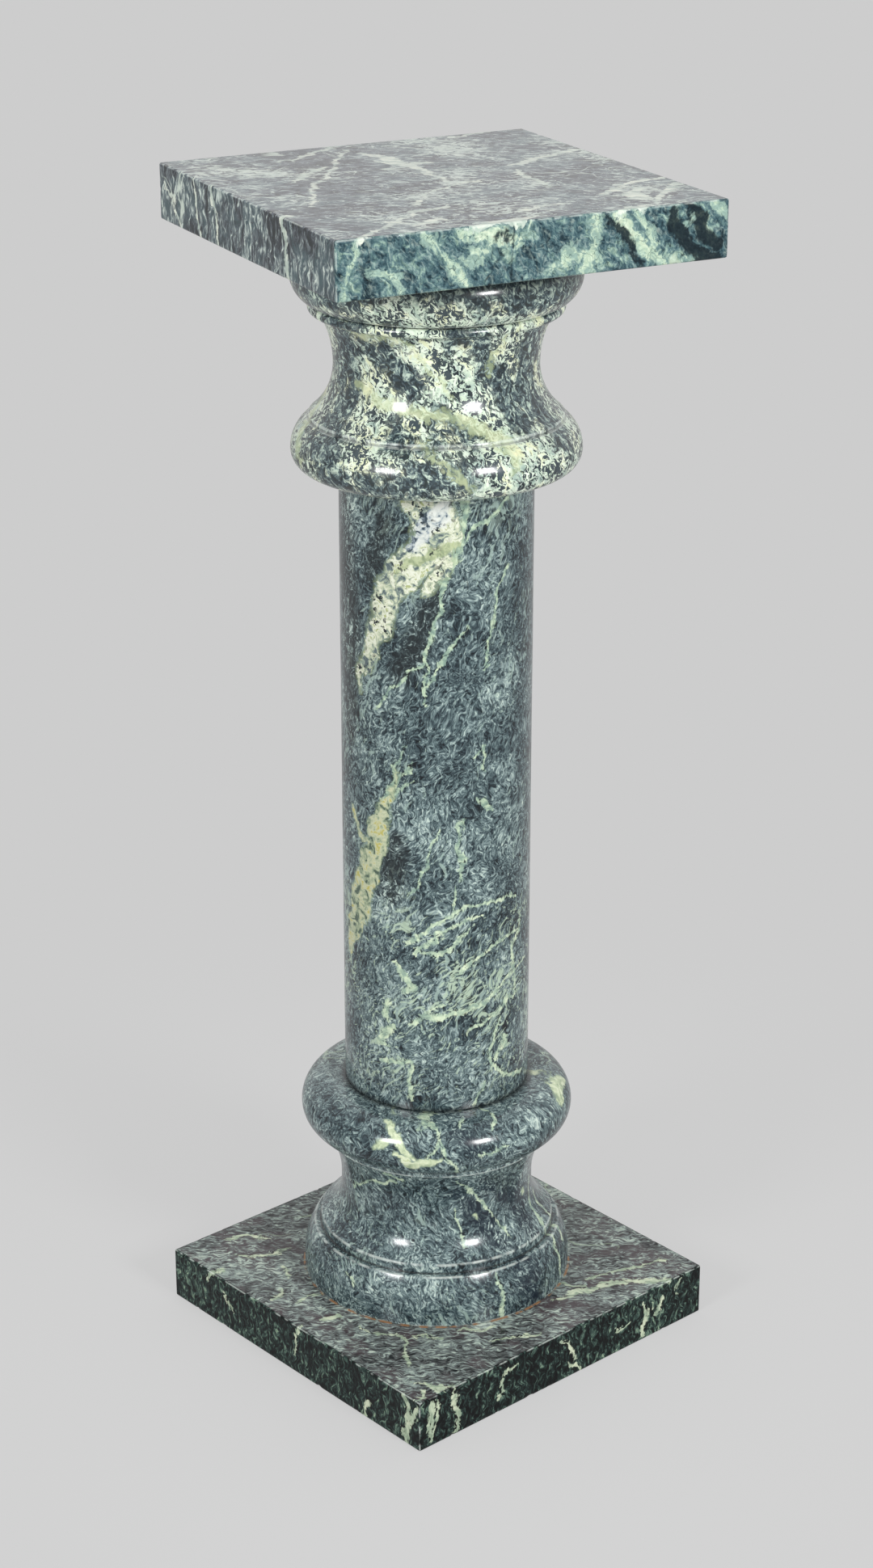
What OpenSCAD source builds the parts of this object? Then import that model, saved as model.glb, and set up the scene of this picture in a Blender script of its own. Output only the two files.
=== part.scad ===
// Marble pedestal column: a square plinth, a turned base, a plain round shaft,
// a turned capital and a square top slab, stacked face to face on one axis.
// +Z is up, the origin is the centre of the plinth's underside, sizes in millimetres.
// Every turned radius is stated as how far it stands out from the shaft's surface.

/* [Plinth] */
// Side of the square plinth
plinth_side = 330; // [290:1:420]
// Thickness of the plinth
plinth_thick = 46.5; // [30:0.5:70]

/* [Shaft] */
// Diameter of the shaft
shaft_d = 157; // [110:1:190]
// Height of the shaft between base and capital
shaft_h = 540.3; // [300:0.5:800]

/* [Base] */
// Height of the upright band at the foot of the base
foot_h = 11; // [4:0.5:25]
// How far the foot and belly stand out from the shaft
belly_out = 37.5; // [26:0.1:46]
// Radius of the curve of the belly above the foot
belly_bow = 61; // [45:1:90]
// Height of the belly's curve
belly_rise = 32.3; // [20:0.1:40]
// Width of the flat ledge above the belly
ledge_w = 5.5; // [1:0.1:8]
// Height of the step above that ledge
base_step_h = 8; // [2:0.1:14]
// How far the narrow neck of the base stands out from the shaft
base_neck_out = 4.3; // [0:0.1:6]
// Radius of the hollow curve that flares from the neck to the step
base_flare_bow = 40; // [30:1:70]
// Height of the straight part of the neck
base_neck_h = 6; // [2:0.5:20]
// Radius of the hollow curve above the neck
base_hollow_bow = 80; // [60:1:130]
// Height of that hollow curve
base_hollow_h = 43; // [25:0.5:50]
// How far the narrow band stands out from the top of the hollow
band_out = 3; // [0.5:0.1:6]
// Height of the narrow band under the large ring
band_h = 5.8; // [3:0.1:14]
// How far the large ring stands out from the shaft
base_ring_out = 37.9; // [34:0.1:46]
// Radius of the large ring's under curve
base_ring_under = 21; // [10:0.5:26]
// Radius of the large ring's upper curve
base_ring_over = 25.4; // [14:0.1:30]

/* [Capital] */
// How far the lower ring stands out from the shaft
cap_ring_out = 38; // [30:0.1:46]
// Radius of the lower ring's under curve
cap_ring_under = 16; // [8:0.5:24]
// Radius of the lower ring's shoulder curve
cap_ring_shoulder = 30; // [26:0.5:40]
// Height of the shoulder curve
cap_shoulder_h = 25.2; // [16:0.1:25.5]
// Width of the fine ledge above the shoulder
cap_ledge_w = 0.7; // [0.3:0.1:3]
// Height of the fine step above the shoulder
cap_step_h = 2.6; // [1:0.1:6]
// How far the neck of the capital stands out from the shaft
cap_neck_out = 3.3; // [0:0.1:6]
// Radius of the hollow curve that flares from the neck to the step
cap_flare_bow = 52; // [36:1:80]
// Radius of the hollow curve above the neck
cap_hollow_bow = 80; // [60:1:120]
// Height of the hollow curve above the neck
cap_hollow_h = 41; // [25:0.5:50]
// How far the bead stands out from the top of the hollow
bead_out = 8.5; // [4:0.1:12]
// Radius of the bead's round edge
bead_bow = 4; // [2:0.1:6]
// Height of the fine groove above the bead
quirk_h = 1.3; // [0.5:0.1:4]
// How far the cushion stands out from the shaft
cushion_out = 37; // [32:0.1:46]
// Radius of the cushion's round section
cushion_bow = 25; // [20:0.5:32]
// How far the cushion's curve runs below its widest line
cushion_drop = 21.7; // [12:0.1:22]

/* [Top slab] */
// Side of the square top slab
slab_side = 327; // [290:1:420]
// Thickness of the top slab
slab_thick = 45; // [25:0.5:70]
// Turn of the top slab about the axis, measured from the plinth, in degrees
slab_turn = -14.6; // [-45:0.1:45]

/* [Edges] */
// Width of the eased edges of the plinth and the top slab
edge_ease = 1.5; // [0.5:0.5:4]

/* [Hidden] */
// Segments of a full circle
$fn = 144;
// Spare width of a cutting shape past the surface it cuts
spare = 1;

shaft_r = shaft_d / 2;

// Base: radii
belly_r = shaft_r + belly_out;
belly_top_r = belly_r - belly_bow + sqrt(pow(belly_bow, 2) - pow(belly_rise, 2));
step_r = belly_top_r - ledge_w;
base_neck_r = shaft_r + base_neck_out;
base_lip_r = base_neck_r + base_hollow_bow - sqrt(pow(base_hollow_bow, 2) - pow(base_hollow_h, 2));
band_r = base_lip_r + band_out;
base_ring_r = shaft_r + base_ring_out;

// Base: heights above the plinth
belly_z = foot_h;
ledge_z = belly_z + belly_rise;
base_flare_z = ledge_z + base_step_h;
base_neck_z = base_flare_z + flare_rise(step_r - base_neck_r, base_flare_bow);
base_hollow_z = base_neck_z + base_neck_h;
band_z = base_hollow_z + base_hollow_h;
base_ring_z = band_z + band_h + base_ring_under;
base_h = base_ring_z + base_ring_over;

// Capital: radii
cap_ring_r = shaft_r + cap_ring_out;
cap_shoulder_r = cap_ring_r - cap_ring_shoulder
    + sqrt(pow(cap_ring_shoulder, 2) - pow(cap_shoulder_h, 2));
cap_step_r = cap_shoulder_r - cap_ledge_w;
cap_neck_r = shaft_r + cap_neck_out;
cap_lip_r = cap_neck_r + cap_hollow_bow - sqrt(pow(cap_hollow_bow, 2) - pow(cap_hollow_h, 2));
bead_r = cap_lip_r + bead_out;
quirk_r = bead_r - bead_bow;
cushion_r = shaft_r + cushion_out;

// Capital: heights above its underside
cap_ring_z = cap_ring_under;
cap_step_z = cap_ring_z + cap_shoulder_h;
cap_flare_z = cap_step_z + cap_step_h;
cap_neck_z = cap_flare_z + flare_rise(cap_step_r - cap_neck_r, cap_flare_bow);
bead_z = cap_neck_z + cap_hollow_h;
quirk_z = bead_z + 2 * bead_bow;
cushion_low_z = quirk_z + quirk_h;
cushion_z = cushion_low_z + cushion_drop;
capital_h = cushion_z + cushion_bow;

// Heights at which the pieces meet, above the ground
base_bottom = plinth_thick;
shaft_bottom = base_bottom + base_h;
capital_bottom = shaft_bottom + shaft_h;
slab_bottom = capital_bottom + capital_h;

// Height that a hollow curve of radius bow needs to widen by out from its upright tangent
function flare_rise(out, bow) = sqrt(pow(bow, 2) - pow(bow - out, 2));

// Outline of an upright band: radius r, from height z up by h
module upright(r, z, h) {
    translate([0, z]) square([r, h]);
}

// Outline of a rounded moulding of widest radius r at height z, with a curve of radius bow
// that runs down by below and up by above
module swell(r, z, bow, below, above) {
    low = below < bow ? below : bow + spare;
    high = above < bow ? above : bow + spare;
    intersection() {
        translate([r - bow, z]) circle(r = bow);
        translate([r - bow, z - low]) square([bow + spare, low + high]);
    }
    upright(r - bow, z - below, below + above);
}

// Outline of a hollow moulding of narrowest radius r at height z, with a curve of radius bow
// that runs down by below and up by above to the wider radius lip
module hollow(r, z, bow, below, above, lip) {
    difference() {
        upright(lip, z - below, below + above);
        translate([r + bow, z]) circle(r = bow);
    }
}

// Square block with its twelve edges eased
module eased_block(side, thick, ease) {
    translate([-side / 2, -side / 2, 0])
    intersection() {
        linear_extrude(thick) eased_outline(side, side, ease);
        translate([0, side, 0]) rotate([90, 0, 0])
            linear_extrude(side) eased_outline(side, thick, ease);
        rotate([90, 0, 90]) linear_extrude(side) eased_outline(side, thick, ease);
    }
}

// Outline of a rectangle with its corners cut off
module eased_outline(w, h, ease) {
    polygon([
        [ease, 0], [w - ease, 0], [w, ease], [w, h - ease],
        [w - ease, h], [ease, h], [0, h - ease], [0, ease]
    ]);
}

module plinth() {
    color("darkslategray") eased_block(plinth_side, plinth_thick, edge_ease);
}

module base() {
    color("slategray")
    translate([0, 0, base_bottom])
    rotate_extrude() {
        upright(belly_r, 0, foot_h);
        swell(belly_r, belly_z, belly_bow, 0, belly_rise);
        upright(step_r, ledge_z, base_step_h);
        hollow(base_neck_r, base_neck_z, base_flare_bow, base_neck_z - base_flare_z, 0, step_r);
        upright(base_neck_r, base_neck_z, base_neck_h);
        hollow(base_neck_r, base_hollow_z, base_hollow_bow, 0, base_hollow_h, base_lip_r);
        upright(band_r, band_z, band_h);
        swell(base_ring_r, base_ring_z, base_ring_under, base_ring_under, 0);
        swell(base_ring_r, base_ring_z, base_ring_over, 0, base_ring_over);
    }
}

module shaft() {
    color("lightslategray")
    translate([0, 0, shaft_bottom])
    cylinder(d = shaft_d, h = shaft_h);
}

module capital() {
    color("darkseagreen")
    translate([0, 0, capital_bottom])
    rotate_extrude() {
        swell(cap_ring_r, cap_ring_z, cap_ring_under, cap_ring_under, 0);
        swell(cap_ring_r, cap_ring_z, cap_ring_shoulder, 0, cap_shoulder_h);
        upright(cap_step_r, cap_step_z, cap_step_h);
        hollow(cap_neck_r, cap_neck_z, cap_flare_bow, cap_neck_z - cap_flare_z, 0, cap_step_r);
        hollow(cap_neck_r, cap_neck_z, cap_hollow_bow, 0, cap_hollow_h, cap_lip_r);
        swell(bead_r, bead_z + bead_bow, bead_bow, bead_bow, bead_bow);
        upright(quirk_r, quirk_z, quirk_h);
        swell(cushion_r, cushion_z, cushion_bow, cushion_drop, cushion_bow);
    }
}

module top_slab() {
    color("darkslategray")
    translate([0, 0, slab_bottom])
    rotate([0, 0, slab_turn])
    eased_block(slab_side, slab_thick, edge_ease);
}

plinth();
base();
shaft();
capital();
top_slab();
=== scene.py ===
"""Looks of a marble pedestal column.

The turned pieces are lathe meshes with eased arrises, the two blocks have rounded, slightly
chipped edges, and the green marble is worked out by shader nodes from the place on the stone:
a ground of fine curled flecks, with the larger veins and patches drawn as strokes.
"""

from math import asin, cos, degrees, pi, radians, sin, sqrt

import bpy
import numpy as np
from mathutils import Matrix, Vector, noise as lattice_noise


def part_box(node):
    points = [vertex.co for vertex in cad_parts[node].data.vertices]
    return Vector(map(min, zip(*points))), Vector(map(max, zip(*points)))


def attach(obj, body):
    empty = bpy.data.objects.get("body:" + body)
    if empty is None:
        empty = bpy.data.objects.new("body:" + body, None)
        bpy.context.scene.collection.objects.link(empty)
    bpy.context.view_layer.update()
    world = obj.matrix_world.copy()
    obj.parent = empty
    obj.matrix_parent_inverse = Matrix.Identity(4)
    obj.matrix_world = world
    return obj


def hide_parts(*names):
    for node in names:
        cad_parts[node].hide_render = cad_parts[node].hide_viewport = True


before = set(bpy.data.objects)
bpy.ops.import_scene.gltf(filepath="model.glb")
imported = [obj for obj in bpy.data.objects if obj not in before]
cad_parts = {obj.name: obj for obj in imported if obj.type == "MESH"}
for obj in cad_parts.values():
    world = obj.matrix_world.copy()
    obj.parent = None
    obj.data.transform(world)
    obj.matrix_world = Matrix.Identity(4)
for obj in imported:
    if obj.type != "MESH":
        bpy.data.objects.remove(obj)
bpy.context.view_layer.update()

MM = 0.001
DEG = pi / 180
FRONT = -41.61  # where the camera stands round the column, in degrees from +X
SLAB_TURN = -14.6  # the top slab against the plinth, in degrees
SLAB_SIDE = 327  # mm
PLINTH_SIDE = 330  # mm
SHAFT_RADIUS = 78.5  # mm


# ---- outlines of turned pieces

ARC_STEPS = 18  # straight steps in a round stretch of an outline
CORNER_STEPS = 4  # steps that round an arris
ARRIS = 0.9  # how much of each side an eased arris takes, mm
NEAR_CORNER = 0.5  # length of the first step beside a corner, mm
LINE_STEP = 9.0  # about the longest step on a straight stretch, mm
MOST_CUT = 0.35  # the most that easing takes off one end of a strand, as a share of it
NEAR_CUT = 0.02  # points this close to a cut end are dropped, mm


def line(start, end):
    """A straight stretch, with short steps beside its ends so that it shades flat."""
    start = np.array(start, float)
    end = np.array(end, float)
    length = np.linalg.norm(end - start)
    near = min(NEAR_CORNER + ARRIS, length / 3)
    middle = np.linspace(near, length - near, max(2, int(length / LINE_STEP)))
    along = np.concatenate([[0.0], middle, [length]])[:, None] / length
    return start + (end - start) * along


def arc(centre, radius, start, end):
    """A round stretch, with its angles in degrees from the outward horizontal."""
    turn = np.radians(np.linspace(start, end, ARC_STEPS + 1))
    return np.array(centre) + radius * np.stack([np.cos(turn), np.sin(turn)], axis=1)


def run(*stretches):
    """Stretches that follow each other without a corner."""
    points = [stretches[0]]
    for stretch in stretches[1:]:
        points.append(stretch[1:])
    return np.concatenate(points)


def trimmed(strand, cut_start, cut_end):
    """The strand with a short length cut off its start and its end."""
    steps = np.linalg.norm(np.diff(strand, axis=0), axis=1)
    along = np.concatenate([[0.0], np.cumsum(steps)])
    low = min(cut_start, MOST_CUT * along[-1])
    high = along[-1] - min(cut_end, MOST_CUT * along[-1])
    kept = along[(along > low + NEAR_CUT) & (along < high - NEAR_CUT)]
    marks = np.concatenate([[low], kept, [high]])
    return np.stack([np.interp(marks, along, strand[:, k]) for k in (0, 1)], axis=1)


def eased(strands):
    """One outline from strands that meet at corners, with each corner rounded."""
    last = len(strands) - 1
    cut = [trimmed(s, ARRIS * (i > 0), ARRIS * (i < last)) for i, s in enumerate(strands)]
    outline = [cut[0]]
    share = np.linspace(0, 1, CORNER_STEPS + 1)[1:-1, None]
    for i in range(last):
        before, corner, after = cut[i][-1], strands[i][-1], cut[i + 1][0]
        outline.append((1 - share) ** 2 * before + 2 * share * (1 - share) * corner + share**2 * after)
        outline.append(cut[i + 1])
    return np.concatenate(outline)


def corners(strands, bottom, outward):
    """(radius, height) in mm of the corners that stand out, or of those that are cut in."""
    found = []
    for before, after in zip(strands, strands[1:]):
        (r1, z1), (r2, z2) = before[-1] - before[-2], after[1] - after[0]
        if (r1 * z2 - z1 * r2 > 0) == outward:
            found.append((before[-1][0], bottom + before[-1][1]))
    return found


def flare(step_r, low_z, neck_r, bow):
    """The round stretch that draws in from a step to an upright neck."""
    rise = sqrt(bow**2 - (bow - step_r + neck_r) ** 2)
    return arc((neck_r + bow, low_z + rise), bow, 180 + degrees(asin(rise / bow)), 180)


def opening(neck_r, low_z, bow, rise):
    """The round stretch that opens outward from an upright neck."""
    return arc((neck_r + bow, low_z), bow, 180, 180 - degrees(asin(rise / bow)))


def base_strands():
    """Foot, belly, step, hollow neck, band and large ring, in mm from the underside."""
    foot_r, foot_h, belly_bow, belly_rise = 116.0, 11.0, 61.0, 32.3
    ledge_w, step_h = 5.5, 8.0
    neck_r, flare_bow, neck_h = 82.8, 40.0, 6.0
    hollow_bow, hollow_h, band_out, band_h = 80.0, 43.0, 3.0, 5.8
    ring_r, ring_under, ring_over = 116.4, 21.0, 25.4
    belly = arc((foot_r - belly_bow, foot_h), belly_bow, 0, degrees(asin(belly_rise / belly_bow)))
    belly_top = belly[-1]
    step_r = belly_top[0] - ledge_w
    flare_z = belly_top[1] + step_h
    flared = flare(step_r, flare_z, neck_r, flare_bow)
    neck_z = flared[-1][1]
    hollow = opening(neck_r, neck_z + neck_h, hollow_bow, hollow_h)
    lip = hollow[-1]
    band_r = lip[0] + band_out
    ring_z = lip[1] + band_h + ring_under
    ring_start = -degrees(asin(sqrt(1 - ((band_r - ring_r + ring_under) / ring_under) ** 2)))
    ring_low = arc((ring_r - ring_under, ring_z), ring_under, ring_start, 0)
    ring_high = arc((ring_r - ring_over, ring_z), ring_over, 0, 90)
    return [
        line((0, 0), (foot_r, 0)),
        run(line((foot_r, 0), (foot_r, foot_h)), belly),
        line(belly_top, (step_r, belly_top[1])),
        line((step_r, belly_top[1]), (step_r, flare_z)),
        run(flared, line((neck_r, neck_z), (neck_r, neck_z + neck_h)), hollow),
        line(lip, (band_r, lip[1])),
        line((band_r, lip[1]), (band_r, lip[1] + band_h)),
        run(ring_low, ring_high, line(ring_high[-1], (0, ring_high[-1][1]))),
    ]


def capital_strands():
    """Lower ring, fine step, hollow neck, bead, groove and cushion, in mm from the underside."""
    ring_r, ring_under, shoulder_bow, shoulder_h = 116.5, 16.0, 30.0, 25.2
    ledge_w, step_h, neck_r, flare_bow = 0.7, 2.6, 81.8, 52.0
    hollow_bow, hollow_h, bead_out, bead_bow, quirk_h = 80.0, 41.0, 8.5, 4.0, 1.3
    cushion_r, cushion_bow, cushion_drop = 115.5, 25.0, 21.7
    ring_low = arc((ring_r - ring_under, ring_under), ring_under, -90, 0)
    shoulder_end = degrees(asin(shoulder_h / shoulder_bow))
    shoulder = arc((ring_r - shoulder_bow, ring_under), shoulder_bow, 0, shoulder_end)
    shoulder_top = shoulder[-1]
    step_r = shoulder_top[0] - ledge_w
    flare_z = shoulder_top[1] + step_h
    flared = flare(step_r, flare_z, neck_r, flare_bow)
    hollow = opening(neck_r, flared[-1][1], hollow_bow, hollow_h)
    lip = hollow[-1]
    quirk_r = lip[0] + bead_out - bead_bow
    quirk_z = lip[1] + 2 * bead_bow
    cushion_z = quirk_z + quirk_h + cushion_drop
    cushion_start = -degrees(asin(cushion_drop / cushion_bow))
    cushion = arc((cushion_r - cushion_bow, cushion_z), cushion_bow, cushion_start, 90)
    return [
        run(line((0, 0), ring_low[0]), ring_low, shoulder),
        line(shoulder_top, (step_r, shoulder_top[1])),
        line((step_r, shoulder_top[1]), (step_r, flare_z)),
        run(flared, hollow),
        line(lip, (quirk_r, lip[1])),
        arc((quirk_r, lip[1] + bead_bow), bead_bow, -90, 90),
        line((quirk_r, quirk_z), (quirk_r, quirk_z + quirk_h)),
        line((quirk_r, quirk_z + quirk_h), cushion[0]),
        run(cushion, line(cushion[-1], (0, cushion[-1][1]))),
    ]


def shaft_strands(height):
    """A plain drum, in mm from its underside."""
    return [
        line((0, 0), (SHAFT_RADIUS, 0)),
        line((SHAFT_RADIUS, 0), (SHAFT_RADIUS, height)),
        line((SHAFT_RADIUS, height), (0, height)),
    ]


# ---- meshes

TURN_STEPS = 320  # segments round a turned piece
WAVE_DEPTH = 0.16  # how far the hand polish falls short of a true curve, mm
WAVE_LENGTH = 38.0  # mm
BLOCK_STEP = 2.2  # grid step on the blocks, mm
BLOCK_EASE = 1.8  # radius of the blocks' rounded edges, mm
BESIDE_EDGE = (0.0, 0.4, 0.8, 1.2, 1.6, 2.4, 3.6)  # grid marks beside an edge, mm from it
CHIP_REACH = 4.5  # how far from an edge a chip can reach, mm
CHIP_DEPTH = 2.6  # mm
CHIP_SIZE = 7.0  # mm
CHIP_GRAIN = 2.5  # size of the roughness within a chip, mm
CHIP_RARITY = 0.38  # a higher value leaves fewer chips


def add_mesh(name, points, faces):
    """A smooth-shaded mesh object that rides on the column's one body."""
    mesh = bpy.data.meshes.new(name)
    mesh.from_pydata([tuple(p) for p in points], [], faces)
    mesh.validate()
    mesh.shade_smooth()
    piece = bpy.data.objects.new(name, mesh)
    bpy.context.scene.collection.objects.link(piece)
    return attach(piece, "root")


def polish_wave(point):
    """How far inward the hand polish lies at a point, in mm."""
    wave = lattice_noise.noise(Vector(point) / (WAVE_LENGTH * MM))
    return WAVE_DEPTH * (0.5 + 0.5 * max(-1.0, min(1.0, 1.5 * wave)))


def turned(name, node, outline):
    """A closed lathe mesh that stands in for a turned CAD node."""
    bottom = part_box(node)[0].z
    rings = outline[1:-1]
    points = [(0.0, 0.0, bottom + outline[0][1] * MM)]
    for radius, height in rings:
        for k in range(TURN_STEPS):
            turn = 2 * pi * k / TURN_STEPS
            z = bottom + height * MM
            place = (radius * cos(turn) * MM, radius * sin(turn) * MM, z)
            fair = (radius - polish_wave(place)) * MM
            points.append((fair * cos(turn), fair * sin(turn), z))
    points.append((0.0, 0.0, bottom + outline[-1][1] * MM))
    faces = []
    top = len(points) - 1
    last_ring = 1 + (len(rings) - 1) * TURN_STEPS
    for k in range(TURN_STEPS):
        after = (k + 1) % TURN_STEPS
        faces.append((0, 1 + after, 1 + k))
        faces.append((top, last_ring + k, last_ring + after))
        for ring in range(len(rings) - 1):
            low = 1 + ring * TURN_STEPS
            high = low + TURN_STEPS
            faces.append((low + k, low + after, high + after, high + k))
    piece = add_mesh(name, points, faces)
    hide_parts(node)
    return piece


def grid_marks(half):
    """Marks along one axis of a block: a close set beside each edge, an even one between."""
    beside = np.array(BESIDE_EDGE)
    inner = half - beside[-1]
    count = int(round(2 * inner / BLOCK_STEP))
    middle = np.linspace(-inner, inner, count + 1)[1:-1]
    return np.concatenate([-half + beside, middle, (half - beside)[::-1]])


def worn_points(places, half):
    """The places on the worn block for places on the sharp one, in mm."""
    core = np.clip(places, -(half - BLOCK_EASE), half - BLOCK_EASE)
    out = places - core
    worn = core + BLOCK_EASE * out / np.linalg.norm(out, axis=1, keepdims=True)
    reach = places - np.clip(places, -(half - CHIP_REACH), half - CHIP_REACH)
    nearness = np.sort(np.abs(reach), axis=1)[:, 1] / CHIP_REACH
    for i in np.flatnonzero(nearness):
        place = Vector(places[i])
        rough = lattice_noise.noise(place / CHIP_SIZE) + 0.5 * lattice_noise.noise(place / CHIP_GRAIN)
        depth = CHIP_DEPTH * max(0.0, rough - CHIP_RARITY) * nearness[i] ** 2
        worn[i] -= depth * reach[i] / np.linalg.norm(reach[i])
    return worn


def block(name, node, side, turn):
    """A closed square block with worn edges that stands in for a CAD node."""
    low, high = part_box(node)
    half = np.array([side / 2, side / 2, (high.z - low.z) / MM / 2])
    marks = [grid_marks(h) for h in half]
    counts = [len(m) for m in marks]
    number = {}
    places = []
    faces = []
    for axis in range(3):
        across, up = (axis + 1) % 3, (axis + 2) % 3
        for end in (0, counts[axis] - 1):
            sheet = np.empty((counts[across], counts[up]), int)
            for i in range(counts[across]):
                for j in range(counts[up]):
                    key = [end] * 3
                    key[across], key[up] = i, j
                    known = number.setdefault(tuple(key), len(places))
                    if known == len(places):
                        places.append([marks[k][key[k]] for k in range(3)])
                    sheet[i, j] = known
            ends = [sheet[:-1, :-1], sheet[1:, :-1], sheet[1:, 1:], sheet[:-1, 1:]]
            quads = np.stack(ends, axis=-1).reshape(-1, 4)
            faces.append(quads if end else quads[:, ::-1])
    cosine, sine = cos(radians(turn)), sin(radians(turn))
    spin = np.array([[cosine, -sine, 0], [sine, cosine, 0], [0, 0, 1]])
    centre = np.array([0, 0, (low.z + high.z) / 2])
    points = centre + worn_points(np.array(places), half) @ spin.T * MM
    piece = add_mesh(name, points, np.concatenate(faces).tolist())
    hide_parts(node)
    return piece


# ---- shader fields

def linear(code):
    """A colour written as six hex digits, as the linear values that a shader takes."""
    parts = [int(code[i:i + 2], 16) / 255 for i in (0, 2, 4)]
    return tuple(p / 12.92 if p <= 0.04045 else ((p + 0.055) / 1.055) ** 2.4 for p in parts) + (1.0,)


def plug(tree, slot, value):
    """Links a field to an input, or sets the input to a plain value."""
    if isinstance(value, Field):
        tree.links.new(value.socket, slot)
    elif isinstance(value, str):
        slot.default_value = linear(value)
    elif slot.type == "VECTOR" and not hasattr(value, "__len__"):
        slot.default_value = (value, value, value)
    else:
        slot.default_value = value


class Field:
    """A number, vector or colour at each point of a surface, with arithmetic on it."""

    def __init__(self, tree, socket):
        self.tree = tree
        self.socket = socket

    def join(self, kind, operation, others, output=0):
        node = self.tree.nodes.new(kind)
        node.operation = operation
        for slot, value in zip(node.inputs, (self, *others)):
            plug(self.tree, slot, value)
        return Field(self.tree, node.outputs[output])

    def math(self, operation, *others):
        return self.join("ShaderNodeMath", operation, others)

    def vector(self, operation, *others, output=0):
        return self.join("ShaderNodeVectorMath", operation, others, output=output)

    def pick(self, operation, other):
        kind = self.math if self.socket.type == "VALUE" else self.vector
        return kind(operation, other)

    def __add__(self, other):
        return self.pick("ADD", other)

    def __sub__(self, other):
        return self.pick("SUBTRACT", other)

    def __mul__(self, other):
        return self.pick("MULTIPLY", other)

    def __rsub__(self, other):
        return self.math("MULTIPLY_ADD", -1.0, other)

    def __abs__(self):
        return self.math("ABSOLUTE")

    def dot(self, other):
        return self.vector("DOT_PRODUCT", other, output=1)

    def part(self, index):
        node = self.tree.nodes.new("ShaderNodeSeparateXYZ")
        self.tree.links.new(self.socket, node.inputs[0])
        return Field(self.tree, node.outputs[index])


def object_place(tree):
    """The place on the object, in metres."""
    return Field(tree, tree.nodes.new("ShaderNodeTexCoord").outputs["Object"])


def pack(x, y, z=0.0):
    """A vector from numbers."""
    node = x.tree.nodes.new("ShaderNodeCombineXYZ")
    for slot, value in zip(node.inputs, (x, y, z)):
        plug(x.tree, slot, value)
    return Field(x.tree, node.outputs[0])


def spun(place, angle):
    """The place turned about the column's axis by an angle in degrees."""
    node = place.tree.nodes.new("ShaderNodeVectorRotate")
    node.rotation_type = "Z_AXIS"
    node.inputs["Angle"].default_value = radians(angle)
    plug(place.tree, node.inputs["Vector"], place)
    return Field(place.tree, node.outputs[0])


def grained(place, lean, squeeze):
    """The place squeezed along a way that leans right of upright by lean degrees at the front."""
    node = place.tree.nodes.new("ShaderNodeVectorRotate")
    node.rotation_type = "X_AXIS"
    node.inputs["Angle"].default_value = radians(lean)
    plug(place.tree, node.inputs["Vector"], spun(place, -FRONT))
    return Field(place.tree, node.outputs[0]) * (1.0, 1.0, squeeze)


def cloud(place, size, detail=2.0, rough=0.5, swirl=0.0, output=0):
    """Smooth random values about 0.5, with features of the given size in mm."""
    node = place.tree.nodes.new("ShaderNodeTexNoise")
    plug(place.tree, node.inputs["Vector"], place)
    node.inputs["Scale"].default_value = 1 / size
    node.inputs["Detail"].default_value = detail
    node.inputs["Roughness"].default_value = rough
    node.inputs["Distortion"].default_value = swirl
    return Field(place.tree, node.outputs[output])


def curls(place, size, turns):
    """Curled bands from -1 to 1 that follow the level lines of a random field."""
    return (cloud(place, size, 2.5, 0.55) * turns).math("SINE")


SHOVE = 6.0  # turns the spread of a random field about its middle into about 1


def shove(place, size, reach):
    """The place moved about at random by up to about reach, in mm."""
    push = cloud(place, size, detail=1, output=1) - 0.5
    return place + push * (SHOVE * reach)


def step(value, low, high):
    """Smooth rise from 0 at low to 1 at high; low may be the larger, for a fall."""
    node = value.tree.nodes.new("ShaderNodeMapRange")
    node.interpolation_type = "SMOOTHSTEP"
    for name, level in (("From Min", low), ("From Max", high), ("To Min", 0.0), ("To Max", 1.0)):
        node.inputs[name].default_value = level
    plug(value.tree, node.inputs["Value"], value)
    return Field(value.tree, node.outputs["Result"])


def threads(place, size, width, detail=1.0):
    """Fine curled threads: 1 along the middle level of a random field, 0 away from it."""
    return step(abs(cloud(place, size, detail) - 0.5), width, 0.0)


def ramp(value, stops):
    """A colour looked up from stops, written as {level in percent: colour}."""
    node = value.tree.nodes.new("ShaderNodeValToRGB")
    table = node.color_ramp
    while len(table.elements) < len(stops):
        table.elements.new(1.0)
    for element, (level, colour) in zip(table.elements, stops.items()):
        element.position = level / 100
        element.color = linear(colour)
    plug(value.tree, node.inputs[0], value)
    return Field(value.tree, node.outputs[0])


def layer(under, over, share):
    """The colour over laid on the colour under, by share."""
    tree = under.tree
    node = tree.nodes.new("ShaderNodeMix")
    node.data_type = "RGBA"
    plug(tree, node.inputs[0], share)
    plug(tree, node.inputs[6], under)
    plug(tree, node.inputs[7], over)
    return Field(tree, node.outputs[2])


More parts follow.
